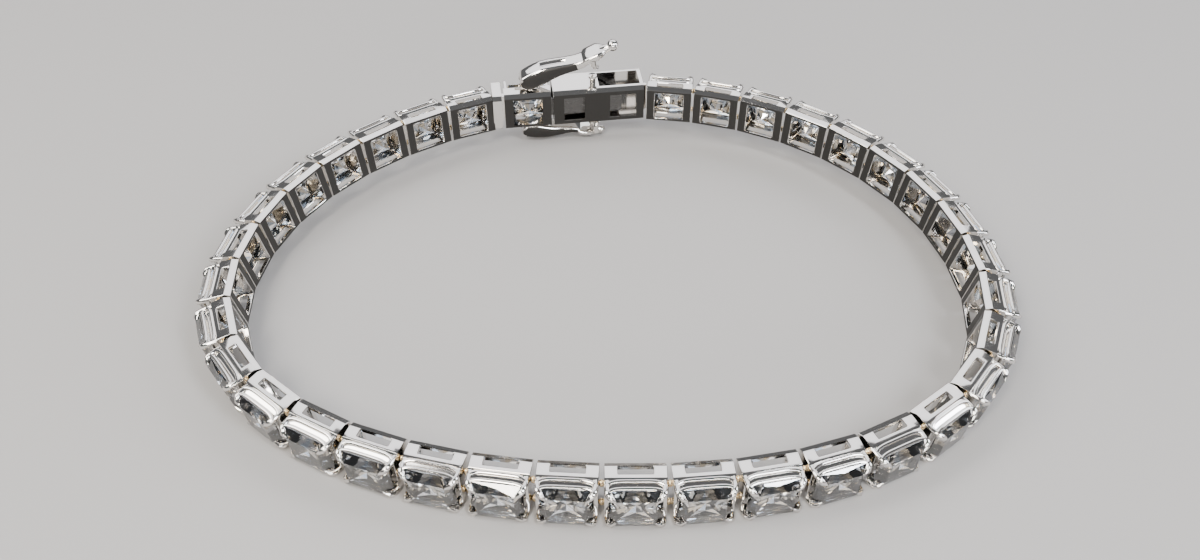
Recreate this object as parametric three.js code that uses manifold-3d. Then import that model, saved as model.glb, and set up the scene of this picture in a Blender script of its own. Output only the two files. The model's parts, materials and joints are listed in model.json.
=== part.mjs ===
// A tennis bracelet of square stones in white metal, lying closed as an egg-shaped loop.
// Millimetres, +Z up, +Y towards the clasp. Each link has its own frame: +X along the chain,
// +Y outward from the inner plate, +Z upright.
import * as THREE from 'three';
import { ConvexGeometry } from 'three/addons/geometries/ConvexGeometry.js';
import { mergeVertices } from 'three/addons/utils/BufferGeometryUtils.js';
import Module from 'manifold-3d';

const wasm = await Module();
wasm.setup();

// Chain
const linkCount = 34;
const pitch = 4.75;            // hinge to hinge
const linkWidth = 4.25;        // along the chain
const linkHeight = 3.8;        // upright, over the top and bottom walls
const plateHeight = 3.3;       // upright, of the inner plate
const bevelDepth = 0.48;       // inner plate to the flat of the top wall
const flatDepth = 1.58;        // inner plate to the outer end of that flat
const railDepth = 2.05;        // inner plate to the rail under the stone
const railHeight = 3.36;       // upright, over the two rails
const hingeInset = 1.35;       // hinge line, outward of the inner plate
const hingeGap = pitch - linkWidth;
const pinRadius = 0.2;
const pinHeight = 2.8;
const maxLean = 15;            // degrees that the links at the two sides lean outward

// Stone
const girdleSize = 3.8;
const tableSize = 2.8;
const culetDepth = 0.5;
const girdleDepth = 2.5;
const girdleBand = 0.08;
const tableDepth = 2.98;

// Loop of the hinge line
const halfLength = 32.2;
const halfWidth = 25.4;
const squareness = 2.14;       // exponent of the outline, 2 is an ellipse
const taper = -0.11;          // narrower towards the clasp
const skew = 0.035;            // a little wider at its right side
const claspStartX = 3.8;       // where the clasp meets the first link

// Clasp, measured along its own chord from the last link's hinge
const claspChord = 15.15;
const ringSpan = [0.25, 1.1];
const tongueSpan = [1.35, 5.85];
const boxSpan = [6.1, 14.9];
const boxDepth = 3.55;
const boxWall = 0.3;
const postAt = 10.05;
const latchMid = 1.5;          // outward of the inner plate
const pivotAt = 3.8;
const pivotRise = 0.95;
const ballRise = 0.85;         // of the ball's centre over the pivot
const ballRadius = 0.42;
const latchWidth = 1.8;
const openAngle = 15;          // degrees that the upper latch is raised

const radians = THREE.MathUtils.degToRad;

function metal(color, roughness) {
  return new THREE.MeshStandardMaterial({ color, roughness, metalness: 1 });
}

function stoneMaterial() {
  return new THREE.MeshStandardMaterial({ color: 0xf4f7ff, roughness: 0.02, metalness: 0 });
}

// Solids are joined and cut as manifolds of merged vertices.
function toSolid(geometry) {
  const bare = geometry.clone();
  bare.deleteAttribute('normal');
  bare.deleteAttribute('uv');
  const merged = mergeVertices(bare, 1e-4);
  const vertProperties = new Float32Array(merged.attributes.position.array);
  const triVerts = new Uint32Array(merged.index.array);
  return new wasm.Manifold(new wasm.Mesh({ numProp: 3, vertProperties, triVerts }));
}

function toGeometry(solid) {
  const mesh = solid.getMesh();
  const geometry = new THREE.BufferGeometry();
  geometry.setAttribute('position', new THREE.BufferAttribute(mesh.vertProperties, 3));
  geometry.setIndex(new THREE.BufferAttribute(mesh.triVerts, 1));
  geometry.computeVertexNormals();
  return geometry;
}

function join(solids) {
  return solids.reduce((whole, solid) => whole.add(solid));
}

function cut(blank, tools) {
  return tools.reduce((rest, tool) => rest.subtract(tool), blank);
}

function block(x0, x1, y0, y1, z0, z1) {
  const geometry = new THREE.BoxGeometry(x1 - x0, y1 - y0, z1 - z0);
  return toSolid(geometry.translate((x0 + x1) / 2, (y0 + y1) / 2, (z0 + z1) / 2));
}

function outline(points) {
  return new THREE.Shape(points.map(([x, y]) => new THREE.Vector2(x, y)));
}

// A section in the outward-upright plane, run along the chain from x0 to x1.
function alongChain(shape, x0, x1) {
  const geometry = new THREE.ExtrudeGeometry(shape, { depth: x1 - x0, bevelEnabled: false });
  const turn = new THREE.Matrix4().makeBasis(
    new THREE.Vector3(0, 1, 0),
    new THREE.Vector3(0, 0, 1),
    new THREE.Vector3(1, 0, 0),
  );
  return toSolid(geometry.applyMatrix4(turn).translate(x0, 0, 0));
}

// A side view in the chain-upright plane, run outward from y0 to y1.
function outwardFrom(shape, y0, y1) {
  const geometry = new THREE.ExtrudeGeometry(shape, { depth: y1 - y0, bevelEnabled: false });
  return toSolid(geometry.rotateX(Math.PI / 2).translate(0, y1, 0));
}

function upright(radius, height, sides) {
  return new THREE.CylinderGeometry(radius, radius, height, sides).rotateX(Math.PI / 2);
}

function square(half, depth) {
  const corners = [[-1, -1], [1, -1], [1, 1], [-1, 1]];
  return corners.map(([x, z]) => new THREE.Vector3(x * half, depth, z * half));
}

// A square stone, table outward and culet inward.
function stoneGeometry() {
  return new ConvexGeometry([
    new THREE.Vector3(0, culetDepth, 0),
    ...square(girdleSize / 2, girdleDepth),
    ...square(girdleSize / 2, girdleDepth + girdleBand),
    ...square(tableSize / 2, tableDepth),
  ]);
}

// A talon at one corner, standing beside the stone from the end wall to its table.
function claw(sideX, sideZ) {
  const rings = [
    { depth: 1.6, x: [1.9, 2.08], z: [1.3, 1.66] },
    { depth: 2.88, x: [1.93, 2.1], z: [1.45, 1.85] },
  ];
  const points = [];
  for (const ring of rings) {
    for (const x of ring.x) {
      for (const z of ring.z) {
        points.push(new THREE.Vector3(sideX * x, ring.depth, sideZ * z));
      }
    }
  }
  return toSolid(new ConvexGeometry(points));
}

function wallSection(depth, outerHeight, flatEnd) {
  return outline([
    [0, -plateHeight / 2],
    [bevelDepth, -linkHeight / 2],
    [flatEnd, -linkHeight / 2],
    [depth, -outerHeight / 2],
    [depth, outerHeight / 2],
    [flatEnd, linkHeight / 2],
    [bevelDepth, linkHeight / 2],
    [0, plateHeight / 2],
  ]);
}

// The head that holds one stone: an open box with a window inward, and four claws outward.
function head(width) {
  const blank = alongChain(wallSection(railDepth, railHeight, flatDepth), -width / 2, width / 2);
  const claws = [claw(-1, -1), claw(-1, 1), claw(1, -1), claw(1, 1)];
  return cut(join([blank, ...claws]), [
    block(-1.4, 1.4, -1, 1, -1.42, 1.42),
    block(-1.6, 1.6, 0.36, 3, -1.5, 1.5),
  ]);
}

// A chain link's head also has a window through its top and bottom walls.
function settingSolid() {
  return head(linkWidth).subtract(block(-1.28, 1.28, 0.55, 1.2, -3, 3));
}

function loopPoint(turn, scale) {
  const across = Math.sign(Math.cos(turn)) * Math.abs(Math.cos(turn)) ** (2 / squareness);
  const back = Math.sign(Math.sin(turn)) * Math.abs(Math.sin(turn)) ** (2 / squareness);
  return new THREE.Vector2(
    scale * halfLength * (1 + taper * back) * across,
    scale * halfWidth * back * (1 + skew * across),
  );
}

function bisect(low, high, isBelow) {
  let [below, above] = [low, high];
  for (let step = 0; step < 50; step += 1) {
    const middle = (below + above) / 2;
    if (isBelow(middle)) below = middle;
    else above = middle;
  }
  return (below + above) / 2;
}

// Hinge points clockwise from the clasp's right end, one chord of a pitch after the other.
function walkLoop(scale) {
  let turn = bisect(0.2, Math.PI / 2, (angle) => loopPoint(angle, scale).x > claspStartX);
  const points = [loopPoint(turn, scale)];
  for (let link = 0; link < linkCount; link += 1) {
    const last = points[link];
    const from = turn;
    const step = bisect(0, 1, (angle) => loopPoint(from - angle, scale).distanceTo(last) < pitch);
    turn = from - step;
    points.push(loopPoint(turn, scale));
  }
  return points;
}

function closedLoop() {
  const scale = bisect(0.8, 1.2, (size) => {
    const points = walkLoop(size);
    return points[linkCount].distanceTo(points[0]) < claspChord;
  });
  return walkLoop(scale);
}

function chainFrame(from, to, at) {
  const along = new THREE.Vector3(to.x - from.x, to.y - from.y, 0).normalize();
  const up = new THREE.Vector3(0, 0, 1);
  const outward = new THREE.Vector3().crossVectors(up, along);
  return new THREE.Matrix4().makeBasis(along, outward, up).setPosition(at.x, at.y, 0);
}

// A link turns about its hinge line by its lean, most at the loop's two sides.
function linkFrame(from, to) {
  const middle = from.clone().add(to).multiplyScalar(0.5);
  const lean = radians(maxLean) * (middle.x / middle.length()) ** 2;
  return chainFrame(from, to, middle)
    .multiply(new THREE.Matrix4().makeRotationX(-lean))
    .multiply(new THREE.Matrix4().makeTranslation(0, -hingeInset, 0));
}

// A hinge pin stands upright in the gap: fixed to the link before it, and free of the next.
function freePin() {
  const neck = block(-hingeGap / 2 - 0.06, 0, -0.15, 0.15, -pinHeight / 2, pinHeight / 2);
  return toGeometry(toSolid(upright(pinRadius, pinHeight, 6)).add(neck));
}

// The hinge inside a pair of links is one piece with both of them.
function fixedPin() {
  return upright(hingeGap / 2 + 0.08, pinHeight, 6);
}

function place(geometry, frame) {
  return toSolid(geometry.clone().applyMatrix4(frame));
}

function mesh(name, geometry, material, frame) {
  const piece = new THREE.Mesh(geometry, material);
  piece.name = name;
  frame.decompose(piece.position, piece.quaternion, piece.scale);
  return piece;
}

function number(value) {
  return String(value).padStart(2, '0');
}

// Two neighbouring links with the hinge between them, in the first link's frame.
function linkPair(points, first) {
  const setting = toGeometry(settingSolid());
  const frame = linkFrame(points[first], points[first + 1]);
  const inFrame = frame.clone().invert();
  const second = linkFrame(points[first + 1], points[first + 2]);
  const middlePin = chainFrame(points[first], points[first + 1], points[first + 1]);
  const endPin = chainFrame(points[first + 1], points[first + 2], points[first + 2]);
  const solid = join([
    toSolid(setting),
    place(setting, inFrame.clone().multiply(second)),
    place(fixedPin(), inFrame.clone().multiply(middlePin)),
    place(freePin(), inFrame.clone().multiply(endPin)),
  ]);
  const name = `links_${number(first + 1)}_${number(first + 2)}`;
  return mesh(name, toGeometry(solid), metal(0xd9d6cf, 0.16), frame);
}

function chain(points) {
  const group = new THREE.Group();
  for (let first = 0; first < linkCount; first += 2) {
    group.add(linkPair(points, first));
  }
  for (let link = 0; link < linkCount; link += 1) {
    const frame = linkFrame(points[link], points[link + 1]);
    group.add(mesh(`stone_${number(link + 1)}`, stoneGeometry(), stoneMaterial(), frame));
  }
  return group;
}

// A flat upright ring between the last link and the tongue link.
function endRing() {
  const shape = outline([
    [0.3, -1.9], [2.7, -1.9], [3.15, -1.45], [3.15, 1.45],
    [2.7, 1.9], [0.3, 1.9], [-0.05, 1.55], [-0.05, -1.55],
  ]);
  shape.holes.push(new THREE.Path(outline([
    [0.5, -1.35], [0.5, 1.35], [2.5, 1.35], [2.5, -1.35],
  ]).getPoints()));
  return toGeometry(alongChain(shape, ...ringSpan));
}

// The ear that carries one latch: a tab standing in the slot of the tongue link.
function pivotEar(side) {
  const wall = linkHeight / 2;
  const foot = [wall - 0.42, wall - 0.02];
  const tab = [wall - 0.42, wall + pivotRise + 0.25];
  const span = (range) => (side > 0 ? range : [-range[1], -range[0]]);
  return [
    block(pivotAt - 0.35, pivotAt + 0.35, latchMid - 0.42, latchMid + 0.42, ...span(foot)),
    block(pivotAt - 0.35, pivotAt + 0.35, latchMid - 0.25, latchMid + 0.25, ...span(tab)),
  ];
}

function tongueMiddle() {
  return (tongueSpan[0] + tongueSpan[1]) / 2;
}

function tongueLink() {
  const width = tongueSpan[1] - tongueSpan[0];
  const shift = new THREE.Matrix4().makeTranslation(tongueMiddle(), 0, 0);
  const body = place(toGeometry(head(width)), shift);
  const slotted = body.subtract(block(2.44, 4.9, latchMid - 0.36, latchMid + 0.36, -3, 3));
  const neck = block(ringSpan[1] + 0.06, tongueSpan[0] + 0.1, 1.1, 1.6, -1.3, 1.3);
  return toGeometry(join([slotted, neck, ...pivotEar(1), ...pivotEar(-1)]));
}

// The folded spring behind the tongue link: a floor leaf, a rising leaf and an inner cheek.
function tongueSpring() {
  const start = tongueSpan[1] + 0.06;
  const tip = 12.8;
  const leaves = outline([
    [start, -0.95], [tip - 0.3, -0.95], [tip, -0.7], [tip, -0.45],
    [10.6, 1.35], [10.35, 1.2], [12.15, -0.65], [start, -0.65],
  ]);
  const cheek = outline([
    [start, -0.95], [tip - 0.3, -0.95], [tip, -0.65], [tip, 0.65],
    [tip - 0.3, 0.95], [start, 0.95],
  ]);
  return toGeometry(outwardFrom(leaves, 0.62, 2.9).add(outwardFrom(cheek, 0.62, 0.85)));
}

function post(side) {
  const foot = linkHeight / 2;
  const profile = [[0, -0.1], [0.28, -0.1], [0.28, 0.5], [0.42, 0.62], [0.42, 0.85], [0, 0.95]];
  const lathe = new THREE.LatheGeometry(profile.map(([x, y]) => new THREE.Vector2(x, y)), 10);
  lathe.rotateX(side * Math.PI / 2);
  return toSolid(lathe.translate(postAt, latchMid, side * foot));
}

// The box that the spring snaps into, open at its left end, on top and at its inner windows.
function claspBox() {
  const [x0, x1] = boxSpan;
  const section = wallSection(boxDepth, plateHeight, boxDepth - 0.25);
  const inside = linkHeight / 2 - 0.38;
  const hollow = block(x0 - 1, x1 - boxWall, 0.42, boxDepth - 0.4, -inside, inside);
  const leftWindow = block(7.1, 9.1, -1, 1, -1.3, 1.27);
  const rightWindow = block(11.58, 14.15, -1, 1, -1.3, 1.27);
  const recess = block(10.6, x1 - boxWall, 0.78, 3.08, 1, 3);
  const frame = new THREE.Matrix4().makeTranslation(claspChord, hingeInset, 0);
  const body = cut(alongChain(section, x0, x1), [hollow, leftWindow, rightWindow, recess]);
  return toGeometry(join([body, post(1), post(-1), place(freePin(), frame)]));
}

// A curved lever, closed, with its pivot at the origin: a round head, an arm that thins
// towards the two prongs over the post, and a ball to lift it by.
function latch(ballX) {
  const low = -pivotRise;
  const half = latchWidth / 2;
  const round = new THREE.CylinderGeometry(0.88, 0.88, latchWidth, 16);
  const arm = outline([
    [0, 0.84], [1.4, 0.98], [2.9, 0.84], [4.4, 0.54], [5.1, 0.46], [5.5, 0.62], [6.9, 0.68],
    [6.9, 0.32], [5.6, 0.28], [5.4, -0.24], [4.0, -0.26], [2.6, -0.34], [1.5, -0.56], [0.3, -0.78],
  ]);
  const ball = new THREE.SphereGeometry(ballRadius, 10, 8).translate(ballX, 0, ballRise);
  const foot = new THREE.Vector3(6.6, 0, 0.48);
  const stem = new THREE.Vector3(ballX, 0, ballRise).sub(foot);
  const rod = new THREE.CylinderGeometry(0.26, 0.28, stem.length(), 8);
  rod.applyQuaternion(new THREE.Quaternion().setFromUnitVectors(
    new THREE.Vector3(0, 1, 0),
    stem.clone().normalize(),
  ));
  rod.translate(foot.x + stem.x / 2, 0, foot.z + stem.z / 2);
  const whole = join([
    toSolid(round),
    outwardFrom(arm, -half, half),
    block(5.4, 6.9, -half, -0.5, low + 0.25, 0.4),
    block(5.4, 6.9, 0.5, half, low + 0.25, 0.4),
    toSolid(ball),
    toSolid(rod),
  ]);
  return toGeometry(whole.subtract(block(-2, 0.8, -0.32, 0.32, -2, 2)));
}

function latchFrame(side, lift) {
  const height = side * (linkHeight / 2 + pivotRise);
  return new THREE.Matrix4()
    .makeTranslation(pivotAt, latchMid, height)
    .multiply(new THREE.Matrix4().makeRotationX(side > 0 ? 0 : Math.PI))
    .multiply(new THREE.Matrix4().makeRotationY(-radians(lift)));
}

function clasp(points) {
  const group = new THREE.Group();
  const still = new THREE.Matrix4();
  const white = () => metal(0xdedbd4, 0.14);
  const frame = chainFrame(points[linkCount], points[0], points[linkCount])
    .multiply(new THREE.Matrix4().makeTranslation(0, -hingeInset, 0));
  frame.decompose(group.position, group.quaternion, group.scale);
  const stoneFrame = new THREE.Matrix4().makeTranslation(tongueMiddle(), 0, 0);
  group.add(
    mesh('end_ring', endRing(), white(), still),
    mesh('tongue_link', tongueLink(), white(), still),
    mesh('stone_35', stoneGeometry(), stoneMaterial(), stoneFrame),
    mesh('tongue_spring', tongueSpring(), metal(0xa9a7a4, 0.3), still),
    mesh('clasp_box', claspBox(), white(), still),
    mesh('latch_upper', latch(8.7), white(), latchFrame(1, openAngle)),
    mesh('latch_lower', latch(7.1), white(), latchFrame(-1, 0)),
  );
  return group;
}

// The loop lies on the lower latch's ball behind and on its front links' edges.
function bracelet() {
  const points = closedLoop();
  const loop = new THREE.Group();
  loop.add(chain(points), clasp(points));
  const ballDrop = pivotRise + ballRise + ballRadius;
  loop.rotation.x = Math.asin(ballDrop / (points[0].y - points[linkCount / 2].y));
  const whole = new THREE.Group();
  whole.add(loop);
  whole.updateMatrixWorld(true);
  const box = new THREE.Box3().setFromObject(whole, true);
  const middle = box.getCenter(new THREE.Vector3());
  loop.position.set(-middle.x, -middle.y, -box.min.z);
  return whole;
}

export default bracelet();
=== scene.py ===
import json
import math
import bmesh
import bpy
from mathutils import Matrix, Vector


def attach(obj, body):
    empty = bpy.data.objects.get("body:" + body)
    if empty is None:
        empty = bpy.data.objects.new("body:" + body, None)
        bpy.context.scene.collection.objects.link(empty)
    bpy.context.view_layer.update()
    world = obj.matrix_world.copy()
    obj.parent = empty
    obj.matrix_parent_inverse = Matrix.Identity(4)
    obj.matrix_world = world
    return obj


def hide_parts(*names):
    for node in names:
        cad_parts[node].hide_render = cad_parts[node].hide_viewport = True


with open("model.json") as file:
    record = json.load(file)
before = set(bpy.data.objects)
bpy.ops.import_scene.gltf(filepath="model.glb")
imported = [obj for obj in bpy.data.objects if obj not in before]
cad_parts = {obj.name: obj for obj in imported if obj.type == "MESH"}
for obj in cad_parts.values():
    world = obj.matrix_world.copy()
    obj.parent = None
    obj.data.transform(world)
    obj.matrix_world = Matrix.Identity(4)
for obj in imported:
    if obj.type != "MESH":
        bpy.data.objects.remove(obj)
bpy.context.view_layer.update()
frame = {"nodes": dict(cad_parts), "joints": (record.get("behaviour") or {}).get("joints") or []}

mm = 0.001
linkCount = 34
nodes = frame["nodes"]
scene = bpy.context.scene


def numbered(name, number):
    return name + "_" + str(number).zfill(2)


# a point of an outline in its own plane, at a depth along the third axis
def shapePoint(first, second, depth, plane):
    if plane == "yz":
        return (depth, first, second)
    if plane == "xz":
        return (first, depth, second)
    return (first, second, depth)


def meshFrom(name, points, faces):
    mesh = bpy.data.meshes.new(name)
    mesh.from_pydata([Vector(point) * mm for point in points], [], faces)
    shape = bmesh.new()
    shape.from_mesh(mesh)
    bmesh.ops.recalc_face_normals(shape, faces=shape.faces)
    shape.to_mesh(mesh)
    shape.free()
    return mesh


def prism(outline, low, high, plane):
    count = len(outline)
    points = [shapePoint(a, b, low, plane) for a, b in outline]
    points += [shapePoint(a, b, high, plane) for a, b in outline]
    faces = [list(range(count)), list(range(count, 2 * count))]
    for i in range(count):
        after = (i + 1) % count
        faces.append([i, after, count + after, count + i])
    return meshFrom("prism", points, faces)


def rectangle(x0, x1, y0, y1, corner, steps=4):
    centres = [(x1 - corner, y1 - corner, 0), (x0 + corner, y1 - corner, 90),
               (x0 + corner, y0 + corner, 180), (x1 - corner, y0 + corner, 270)]
    outline = []
    for x, y, start in centres:
        for step in range(steps + 1):
            angle = math.radians(start + 90 * step / steps)
            outline.append((x + corner * math.cos(angle), y + corner * math.sin(angle)))
    return outline


def smoothed(mesh, angle):
    mesh.shade_smooth()
    mesh.set_sharp_from_angle(angle=math.radians(angle))
    return mesh


# a round bar along a path, with its own radius at every point
def bar(path, radii, sides=10):
    path = [Vector(point) for point in path]
    points = []
    side = None
    for i, point in enumerate(path):
        ahead = (path[min(i + 1, len(path) - 1)] - path[max(i - 1, 0)]).normalized()
        side = side if side is not None else ahead.orthogonal()
        side = (side - ahead * side.dot(ahead)).normalized()
        other = ahead.cross(side)
        for k in range(sides):
            turn = 2 * math.pi * k / sides
            offset = side * math.cos(turn) + other * math.sin(turn)
            points.append(point + offset * radii[i])
    faces = [list(range(sides)), list(range(len(points) - sides, len(points)))]
    for i in range(len(path) - 1):
        for k in range(sides):
            after = (k + 1) % sides
            faces.append([i * sides + k, i * sides + after,
                          (i + 1) * sides + after, (i + 1) * sides + k])
    return smoothed(meshFrom("bar", points, faces), 70)


def merged(name, meshes):
    shape = bmesh.new()
    for mesh in meshes:
        shape.from_mesh(mesh)
    whole = bpy.data.meshes.new(name)
    shape.to_mesh(whole)
    shape.free()
    return whole


# modifiers are worked out once, on a copy that isn't kept in the scene
def shaped(mesh, cutters=(), bevel=0.0):
    work = bpy.data.objects.new("work", mesh)
    scene.collection.objects.link(work)
    helpers = [work]
    for cutter in cutters:
        tool = bpy.data.objects.new("tool", cutter)
        scene.collection.objects.link(tool)
        helpers.append(tool)
        cut = work.modifiers.new("cut", "BOOLEAN")
        cut.object = tool
        cut.operation = "DIFFERENCE"
        cut.solver = "EXACT"
    if bevel:
        edge = work.modifiers.new("edge", "BEVEL")
        edge.width = bevel * mm
        edge.segments = 2
        edge.limit_method = "ANGLE"
        edge.angle_limit = math.radians(30)
    graph = bpy.context.evaluated_depsgraph_get()
    result = bpy.data.meshes.new_from_object(work.evaluated_get(graph))
    for helper in helpers:
        bpy.data.objects.remove(helper)
    return result


def addPiece(name, mesh, place, body, slot, *materials):
    piece = bpy.data.objects.new(name, mesh)
    scene.collection.objects.link(piece)
    if not mesh.materials:
        for material in materials:
            mesh.materials.append(material)
    piece.matrix_world = place
    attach(piece, body)
    return piece


def principled(name, color, metallic, roughness):
    material = bpy.data.materials.new(name)
    material.use_nodes = True
    shader = material.node_tree.nodes["Principled BSDF"]
    shader.inputs["Base Color"].default_value = (*color, 1)
    shader.inputs["Metallic"].default_value = metallic
    shader.inputs["Roughness"].default_value = roughness
    return material, shader


# fine wear: a stretched noise moves the roughness between two values and lifts the surface
def addGrain(material, shader, stretch, rough, lift):
    tree = material.node_tree
    place = tree.nodes.new("ShaderNodeTexCoord")
    scale = tree.nodes.new("ShaderNodeMapping")
    scale.inputs["Scale"].default_value = stretch
    noise = tree.nodes.new("ShaderNodeTexNoise")
    noise.inputs["Scale"].default_value = 1.0
    noise.inputs["Detail"].default_value = 4.0
    spread = tree.nodes.new("ShaderNodeMapRange")
    spread.inputs["To Min"].default_value = rough[0]
    spread.inputs["To Max"].default_value = rough[1]
    bump = tree.nodes.new("ShaderNodeBump")
    bump.inputs["Strength"].default_value = lift
    bump.inputs["Distance"].default_value = 0.00002
    tree.links.new(place.outputs["Object"], scale.inputs["Vector"])
    tree.links.new(scale.outputs["Vector"], noise.inputs["Vector"])
    tree.links.new(noise.outputs["Fac"], spread.inputs["Value"])
    tree.links.new(spread.outputs["Result"], shader.inputs["Roughness"])
    tree.links.new(noise.outputs["Fac"], bump.inputs["Height"])
    tree.links.new(bump.outputs["Normal"], shader.inputs["Normal"])


def polishedMetal():
    material, shader = principled("polishedWhiteGold", (0.82, 0.795, 0.76), 1.0, 0.1)
    addGrain(material, shader, (900, 900, 900), (0.05, 0.13), 0.12)
    return material


# painted shade: the near-black base colour stands in for the shade on inward-facing metal; the
# satin roughness and grain are the real finish
def satinMetal():
    material, shader = principled("paintedShadeSatinInnerPlate", (0.06, 0.058, 0.055), 1.0, 0.4)
    addGrain(material, shader, (9000, 9000, 900), (0.3, 0.5), 0.5)
    return material


def springMetal():
    material, shader = principled("satinSpring", (0.13, 0.127, 0.124), 1.0, 0.3)
    addGrain(material, shader, (1500, 6000, 6000), (0.2, 0.38), 0.3)
    return material


def hingeMetal():
    material, shader = principled("goldTonedHinge", (0.93, 0.74, 0.46), 1.0, 0.15)
    addGrain(material, shader, (2500, 2500, 2500), (0.1, 0.22), 0.2)
    return material


def clearStone(name, paintedFireColour, mirror):
    material, shader = principled(name, paintedFireColour, mirror, 0.0)
    shader.inputs["Transmission Weight"].default_value = 1.0
    shader.inputs["IOR"].default_value = 2.417
    return material


polished = polishedMetal()
paintedShadeSatin = satinMetal()
spring = springMetal()
hinge = hingeMetal()
# painted fire: the blue and amber back facets stand in for dispersed light in a clear stone
stoneMaterialsWithPaintedFire = [clearStone("clearStone", (1.0, 1.0, 1.0), 0.0),
              clearStone("stoneBack", (1.0, 1.0, 1.0), 0.45),
              clearStone("stonePaintedFireBlue", (0.68, 0.82, 1.0), 0.45),
              clearStone("stonePaintedFireAmber", (1.0, 0.87, 0.66), 0.45)]
print("finishes made")


# girdleDepth, culetDepth and tableDepth are outward of the link's inner plate
stoneSize = {"girdle": 3.8, "table": 2.7, "culetDepth": 0.5, "girdleDepth": 2.5, "band": 0.08,
             "tableDepth": 2.98, "crownHeight": 0.2}


# a link's place is read from its stone's solid: the table is the largest flat face
def linkPlace(node):
    mesh = node.data
    areas = {}
    for face in mesh.polygons:
        key = tuple(round(value, 1) + 0.0 for value in face.normal)
        total, normal = areas.get(key, (0.0, face.normal.copy()))
        areas[key] = (total + face.area, normal)
    outward = max(areas.values(), key=lambda entry: entry[0])[1].normalized()
    reach = max(vertex.co.dot(outward) for vertex in mesh.vertices)
    nearTable = reach - 0.02 * mm
    table = [vertex.co.copy() for vertex in mesh.vertices if vertex.co.dot(outward) > nearTable]
    centre = sum(table, Vector()) / len(table)
    edges = sorted((b - a for a in table for b in table), key=lambda edge: edge.length)
    diagonal = edges[-1].length
    sides = [edge for edge in edges if edge.length < 0.8 * diagonal]
    up = max(sides, key=lambda edge: edge.z)
    up = (up - outward * up.dot(outward)).normalized()
    along = outward.cross(up)
    origin = centre - outward * stoneSize["tableDepth"] * mm
    place = Matrix((along, outward, up)).transposed().to_4x4()
    place.translation = origin
    return place


places = [linkPlace(nodes[numbered("stone", n)]) for n in range(1, linkCount + 2)]
tonguePlace = places[linkCount]


# one stone head: box, windows, ridge, rails and claws
headSize = {
    "width": 4.38,
    "height": 3.8,
    "plate": 3.3,
    "bevelDepth": 0.48,
    # depth and inset of the outer part of the top and bottom walls
    "outer": [(1.52, 0), (1.7, 0.22), (2.2, 0.34)],
    "window": (1.4, 1.42, 0.14),
    # half width, half height, corner and near end of the room for the stone
    "room": (1.62, 1.52, 0.1, 0.34),
    "sideWindow": (1.28, 0.5, 1.2, 0.09),
    "edge": 0.07,
}


def headSection():
    half = headSize["height"] / 2
    plate = headSize["plate"] / 2
    top = [(0, plate), (headSize["bevelDepth"], half)]
    top += [(depth, half - inset) for depth, inset in headSize["outer"]]
    return top + [(depth, -height) for depth, height in reversed(top)]


def headBody():
    half = headSize["width"] / 2
    window, windowHeight, windowCorner = headSize["window"]
    room, roomHeight, roomCorner, near = headSize["room"]
    reach, first, last, corner = headSize["sideWindow"]
    windowOutline = rectangle(-window, window, -windowHeight, windowHeight, windowCorner)
    roomOutline = rectangle(-room, room, -roomHeight, roomHeight, roomCorner)
    cutters = [
        prism(windowOutline, -1, 1, "xz"),
        prism(roomOutline, near, 3, "xz"),
        prism(rectangle(-reach, reach, first, last, corner), -3, 3, "xy"),
    ]
    return smoothed(shaped(prism(headSection(), -half, half, "yz"), cutters, headSize["edge"]), 15)


trimSize = {
    # inset at the two ends, depth there and in the middle, height, fall at the ends
    "ridge": (0.16, 1.98, 1.7, 1.74, 0.08),
    "rail": (0.18, 2.62, 2.36, 1.74, 0.12),
    "radius": 0.17,
    "steps": 12,
    "bend": 6,
    # inset, depth, height and radius along a claw, from its root to its tip
    "claw": [(0.2, 1.5, 1.6, 0.2), (0.18, 2.0, 1.64, 0.2), (0.2, 2.4, 1.64, 0.22),
             (0.28, 2.76, 1.6, 0.27), (0.5, 3.02, 1.42, 0.22), (0.98, 3.14, 0.98, 0.02)],
}


# straight for most of its length, and bent outward at both ends
def arch(sizes, half, sideZ):
    inset, ends, middle, height, drop = sizes
    steps = trimSize["steps"]
    path = []
    for step in range(steps + 1):
        t = 2 * step / steps - 1
        swing = t ** trimSize["bend"]
        path.append(((half - inset) * t, middle + (ends - middle) * swing,
                     sideZ * (height - drop * swing)))
    return bar(path, [trimSize["radius"]] * len(path), 10)


def claw(half, sideX, sideZ):
    path = [(sideX * (half - inset), depth, sideZ * height)
            for inset, depth, height, radius in trimSize["claw"]]
    return bar(path, [radius for inset, depth, height, radius in trimSize["claw"]], 6)


def trim(half, sideZ):
    parts = [arch(trimSize["ridge"], half, sideZ), arch(trimSize["rail"], half, sideZ)]
    return parts + [claw(half, -1, sideZ), claw(half, 1, sideZ)]


# painted shade: the inner plate's inward faces get the near-black satin metal
def satinInside(mesh):
    mesh.materials.append(polished)
    mesh.materials.append(paintedShadeSatin)
    for face in mesh.polygons:
        if face.normal.y < -0.95 and face.center.y < 0.02 * mm:
            face.material_index = 1


def headMesh(name):
    half = headSize["width"] / 2
    mesh = merged(name, [headBody()] + trim(half, 1) + trim(half, -1))
    satinInside(mesh)
    return mesh


def makeHeads():
    mesh = headMesh("linkHead")
    for n in range(1, linkCount + 1):
        piece = addPiece(numbered("head", n), mesh, places[n - 1], "bracelet",
                         "polished_white_metal")
        first = n if n % 2 else n - 1
        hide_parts("links_" + str(first).zfill(2) + "_" + str(first + 1).zfill(2))
    print("heads:", linkCount)


# two round knuckles in every gap
hingeSize = {
    "reach": 2.375,
    "inset": 1.35,
    "levels": (1.12, -0.95),
    "radius": 0.19,
    "tall": 0.6,
    # distance from a knuckle's end, and its share of the radius there
    "rounding": [(0, 0.3), (0.06, 0.8), (0.14, 1.0)],
    # start, half thickness, half height and corner of the lug
    "lug": (1.9, 0.13, 0.2, 0.05),
}


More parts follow.
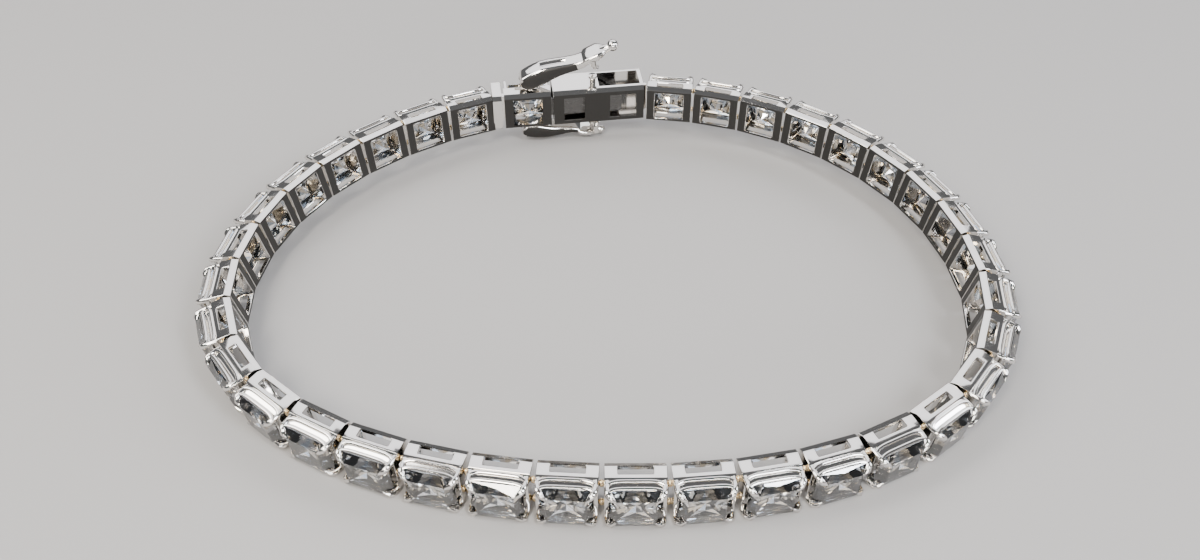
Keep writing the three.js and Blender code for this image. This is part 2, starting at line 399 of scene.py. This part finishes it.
def hingeMesh():
    parts = []
    half = hingeSize["tall"] / 2
    reach = hingeSize["reach"]
    inset = hingeSize["inset"]
    lower = [(-half + away, share) for away, share in hingeSize["rounding"]]
    profile = lower + [(-height, share) for height, share in reversed(lower)]
    start, thick, tall, corner = hingeSize["lug"]
    for level in hingeSize["levels"]:
        path = [(reach, inset, level + height) for height, share in profile]
        parts.append(bar(path, [hingeSize["radius"] * share for height, share in profile], 12))
        lug = rectangle(start, reach, inset - thick, inset + thick, corner)
        parts.append(shaped(prism(lug, level - tall, level + tall, "xy"), (), 0.03))
    return merged("hingeKnuckles", parts)


def makeHinges():
    mesh = hingeMesh()
    for n in range(1, linkCount + 1):
        addPiece(numbered("hinge", n), mesh, places[n - 1], "bracelet", "polished_white_metal",
                 hinge)
    print("hinges:", linkCount)


# a stone has a square table, a stepped crown and a chevron pavilion
stoneCut = {
    "squash": 0.94,  # the girdle sits a little inside the two rails
    # depth, and half width at the corners and at the middle of the sides
    "crown": [(2.84, 1.66, 1.7)],
    "pavilion": [(2.0, 1.50, 1.58), (1.5, 1.04, 1.14), (1.0, 0.54, 0.64)],
    # pavilion facets take the painted fire colours in turn around the stone
    "paintedFireTurn": 30,
    "backPaintedFire": (1, 2, 1, 3),
}


def ringPoints(corner, middle, depth):
    points = []
    for k in range(4):
        turn = math.radians(90 * k)
        for x, z in ((corner, corner), (0.0, middle)):
            points.append((x * math.cos(turn) - z * math.sin(turn), depth,
                           (x * math.sin(turn) + z * math.cos(turn)) * stoneCut["squash"]))
    return points


def stoneMesh():
    girdle = stoneSize["girdle"] / 2
    table = stoneSize["table"] / 2
    points = ringPoints(table, table, stoneSize["tableDepth"] + stoneSize["crownHeight"])
    for depth in (stoneSize["girdleDepth"] + stoneSize["band"], stoneSize["girdleDepth"]):
        points += ringPoints(girdle, girdle, depth)
    for depth, corner, middle in stoneCut["crown"] + stoneCut["pavilion"]:
        points += ringPoints(corner, middle, depth)
    points.append((0, stoneSize["culetDepth"], 0))
    shape = bmesh.new()
    for point in points:
        shape.verts.new(Vector(point) * mm)
    hull = bmesh.ops.convex_hull(shape, input=shape.verts)
    inside = list(set(hull["geom_unused"] + hull["geom_interior"]))
    bmesh.ops.delete(shape, geom=inside, context="VERTS")
    bmesh.ops.recalc_face_normals(shape, faces=shape.faces)
    bmesh.ops.dissolve_limit(shape, angle_limit=math.radians(0.5), verts=shape.verts,
                             edges=shape.edges)
    mesh = bpy.data.meshes.new("squareStone")
    shape.to_mesh(mesh)
    shape.free()
    for material in stoneMaterialsWithPaintedFire:
        mesh.materials.append(material)
    # painted fire: back facets below the girdle get the blue and amber fire colours
    for face in mesh.polygons:
        turn = math.degrees(math.atan2(face.center.z, face.center.x))
        paintedFireColours = stoneCut["backPaintedFire"]
        paintedFireColour = paintedFireColours[int(turn // stoneCut["paintedFireTurn"]) % len(paintedFireColours)]
        face.material_index = paintedFireColour if face.center.y < (stoneSize["girdleDepth"] - 0.1) * mm else 0
    return mesh


def makeStones():
    mesh = stoneMesh()
    for n, place in enumerate(places, 1):
        piece = addPiece(numbered("cutStone", n), mesh, place, "bracelet", "clear_stone")
        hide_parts(numbered("stone", n))
    print("stones:", len(places))


# the ring, tongue link, spring and box keep their solids, with eased edges
def easeEdges(name, width, segments=2):
    edge = nodes[name].modifiers.new("easedEdge", "BEVEL")
    edge.width = width * mm
    edge.segments = segments
    edge.limit_method = "ANGLE"
    edge.angle_limit = math.radians(25)


def faceFinish(name, materials, choose):
    mesh = nodes[name].data
    mesh.materials.clear()
    for material in materials:
        mesh.materials.append(material)
    for face in mesh.polygons:
        face.material_index = choose(face)


def finishClasp():
    inward = -tonguePlace.col[1].to_3d()
    plateAt = tonguePlace.translation.dot(inward)

    def isPlate(face):
        onPlate = face.center.dot(inward) > plateAt - 0.05 * mm
        return int(face.normal.dot(inward) > 0.98 and onPlate)

    # painted shade: inward plate faces of the box and the tongue link get the near-black satin
    # metal
    faceFinish("clasp_box", [polished, paintedShadeSatin], isPlate)
    faceFinish("end_ring", [polished], lambda face: 0)
    faceFinish("tongue_spring", [spring], lambda face: 0)
    easeEdges("clasp_box", 0.11)
    easeEdges("end_ring", 0.36, 5)
    easeEdges("tongue_spring", 0.03)
    faceFinish("tongue_link", [polished, paintedShadeSatin], isPlate)
    easeEdges("tongue_link", 0.05)
    print("clasp finished")


# a cast lever has a round head, a grooved arm, two prongs and a ball
latchShape = {
    # along the lever, top, bottom and half width, from the pivot
    "stations": [(-0.87, 0.1, -0.12, 0.60), (-0.75, 0.42, -0.42, 0.86), (-0.42, 0.76, -0.74, 0.98),
                 (0.1, 0.92, -0.86, 1.0), (0.8, 1.08, -0.82, 1.0), (1.5, 1.14, -0.66, 0.98),
                 (2.3, 1.08, -0.46, 0.96), (3.1, 0.96, -0.32, 0.92), (4.0, 0.80, -0.26, 0.90),
                 (4.9, 0.68, -0.24, 0.90), (5.6, 0.68, -0.08, 0.96), (5.85, 0.86, 0.12, 1.1),
                 (6.3, 0.94, 0.24, 1.12), (7.1, 1.08, 0.28, 1.12), (7.5, 1.02, 0.36, 0.88),
                 (7.85, 0.96, 0.46, 0.58)],
    "squareness": 5.0,
    "around": 24,
    "groove": (1.4, 4.6, 0.36),
    "ballRise": 0.85,
    # along, across, up and radius of a prong, from its root to its tip
    "prong": [(6.5, 0.84, 0.5, 0.34), (6.42, 0.84, 0.0, 0.3), (6.5, 0.78, -0.38, 0.26),
              (6.8, 0.7, -0.58, 0.15)],
    "neck": (1.2, 0.64, [0.5, 0.38, 0.38]),
    # the lever's inward side, up to this point along it, is painted shade
    "paintedShadeEnd": 4.8,
}


# node, joint, side, then length and height as shares, the ball's place and its radius
latchPair = [("latch_upper", "upper_latch_hinge", 1, (1.0, 1.0, 8.7, 0.58)),
             ("latch_lower", "lower_latch_hinge", -1, (0.83, 0.72, 7.1, 0.42))]


def leverMesh(reach, rise):
    stations = [(s * reach if s > 0 else s, top * rise, bottom, half)
                for s, top, bottom, half in latchShape["stations"]]
    around = latchShape["around"]
    power = 2 / latchShape["squareness"]
    points = []
    for s, top, bottom, half in stations:
        middle = (top + bottom) / 2
        tall = (top - bottom) / 2
        for k in range(around):
            turn = 2 * math.pi * k / around
            y = math.copysign(abs(math.cos(turn)) ** power, math.cos(turn)) * half
            z = math.copysign(abs(math.sin(turn)) ** power, math.sin(turn)) * tall
            points.append((s, y, middle + z))
    faces = [list(range(around)), list(range(len(points) - around, len(points)))]
    for i in range(len(stations) - 1):
        for k in range(around):
            after = (k + 1) % around
            faces.append([i * around + k, i * around + after,
                          (i + 1) * around + after, (i + 1) * around + k])
    start, end, radius = latchShape["groove"]
    line = [(s, 0, top + 0.08) for s, top, bottom, half in stations if start <= s <= end]
    groove = bar(line, [radius] * len(line), 12)
    earRoom = prism(rectangle(-1.2, 0.6, -2, 0.42, 0.1), -0.3, 0.3, "xz")
    return smoothed(shaped(meshFrom("lever", points, faces), [groove, earRoom], 0.03), 40)


def prong(side):
    path = [(s, side * across, rise) for s, across, rise, radius in latchShape["prong"]]
    return bar(path, [radius for s, across, rise, radius in latchShape["prong"]], 10)


def ballEnd(ballX, radius):
    length, rise, neckRadii = latchShape["neck"]
    start = Vector((ballX - length, 0, rise))
    centre = Vector((ballX, 0, latchShape["ballRise"]))
    neck = bar([start, start.lerp(centre, 0.5), centre], neckRadii, 12)
    rings = 9
    path = []
    radii = []
    for k in range(rings + 1):
        turn = math.pi * k / rings
        path.append(centre - Vector((0, 0, radius * math.cos(turn))))
        radii.append(max(radius * math.sin(turn), 0.02))
    return [neck, bar(path, radii, 16)]


def latchMesh(name, side, reach, rise, ballX, ballRadius):
    parts = [leverMesh(reach, rise), prong(1), prong(-1)] + ballEnd(ballX, ballRadius)
    mesh = merged(name, parts)
    mesh.materials.append(polished)
    mesh.materials.append(paintedShadeSatin)
    # painted shade: the lever's inward side wall gets the near-black satin metal
    for face in mesh.polygons:
        if face.normal.y * side < -0.9 and face.center.x < latchShape["paintedShadeEnd"] * mm:
            face.material_index = 1
    return mesh


def latchPlace(joint, side):
    place = tonguePlace.copy()
    place.translation = Vector(joint["pos_m"])
    if side < 0:
        return place @ Matrix.Rotation(math.pi, 4, "X")
    lift = math.radians(-joint["range_deg"][0])
    return place @ Matrix.Rotation(-lift, 4, "Y")


def makeLatches():
    for node, jointName, side, sizes in latchPair:
        joint = next(entry for entry in frame["joints"] if entry["name"] == jointName)
        mesh = latchMesh(node + "Lever", side, *sizes)
        piece = addPiece(node + "_lever", mesh, latchPlace(joint, side), joint["child"],
                         "polished_white_metal")
        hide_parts(node)
    print("latches made")


studio = {"floor": 1.6, "back": 1.5, "key": 0.8, "side": 0.6, "front": 1.25, "low": 0.4,
          "world": 0.16}
lens = {"focal": 37.8, "distance": 101.6, "elevation": 42.5, "across": 6.77, "back": -25.9}


def makeFloor():
    half = studio["floor"] / 2
    corners = [(-half, -half, 0), (half, -half, 0), (half, half, 0), (-half, half, 0)]
    mesh = bpy.data.meshes.new("floor")
    mesh.from_pydata(corners, [], [(0, 1, 2, 3)])
    floor = bpy.data.objects.new("floor", mesh)
    scene.collection.objects.link(floor)
    material, shader = principled("paleFloor", (0.37, 0.362, 0.354), 0.0, 0.7)
    mesh.materials.append(material)


def softbox(name, place, size, power, color):
    light = bpy.data.lights.new(name, "AREA")
    light.shape = "RECTANGLE"
    light.size = size[0]
    light.size_y = size[1]
    light.energy = power
    light.color = color
    lamp = bpy.data.objects.new(name, light)
    lamp.location = place
    lamp.rotation_euler = (-Vector(place)).to_track_quat("-Z", "Y").to_euler()
    scene.collection.objects.link(lamp)


def makeLights():
    softbox("backLight", (0.0, 0.27, 0.30), (0.60, 0.36), studio["back"], (0.96, 0.96, 1.0))
    softbox("keyLight", (-0.20, -0.02, 0.24), (0.10, 0.22), studio["key"], (1.0, 0.97, 0.93))
    softbox("sideLight", (0.28, 0.0, 0.14), (0.06, 0.20), studio["side"], (0.90, 0.92, 1.0))
    softbox("frontLeft", (-0.11, -0.24, 0.27), (0.09, 0.12), studio["front"], (1.0, 0.93, 0.84))
    softbox("frontRight", (0.18, -0.22, 0.26), (0.09, 0.12), studio["front"], (0.93, 0.95, 1.0))
    softbox("lowLight", (0.05, -0.30, 0.07), (0.20, 0.03), studio["low"], (1.0, 0.97, 0.92))
    world = bpy.data.worlds.new("studioWorld")
    world.use_nodes = True
    shade = world.node_tree.nodes["Background"]
    shade.inputs["Color"].default_value = (0.86, 0.88, 0.92, 1)
    shade.inputs["Strength"].default_value = studio["world"]
    scene.world = world


def makeCamera():
    up = tonguePlace.col[2].to_3d()
    across = Vector((1, 0, 0))
    back = up.cross(across).normalized()
    aim = tonguePlace.translation + up * headSize["height"] / 2 * mm
    aim += across * lens["across"] * mm + back * lens["back"] * mm
    angle = math.radians(lens["elevation"])
    toCamera = up * math.sin(angle) - back * math.cos(angle)
    data = bpy.data.cameras.new("camera")
    data.lens = lens["focal"]
    data.sensor_width = 36
    data.clip_start = 0.005
    camera = bpy.data.objects.new("camera", data)
    rise = up * math.cos(angle) + back * math.sin(angle)
    turn = Matrix((across, rise, toCamera)).transposed().to_4x4()
    turn.translation = aim + toCamera * lens["distance"] * mm
    camera.matrix_world = turn
    scene.collection.objects.link(camera)
    scene.camera = camera
    print("floor, lights and camera placed")


makeHeads()
makeHinges()
makeStones()
finishClasp()
makeLatches()
makeFloor()
makeLights()
makeCamera()
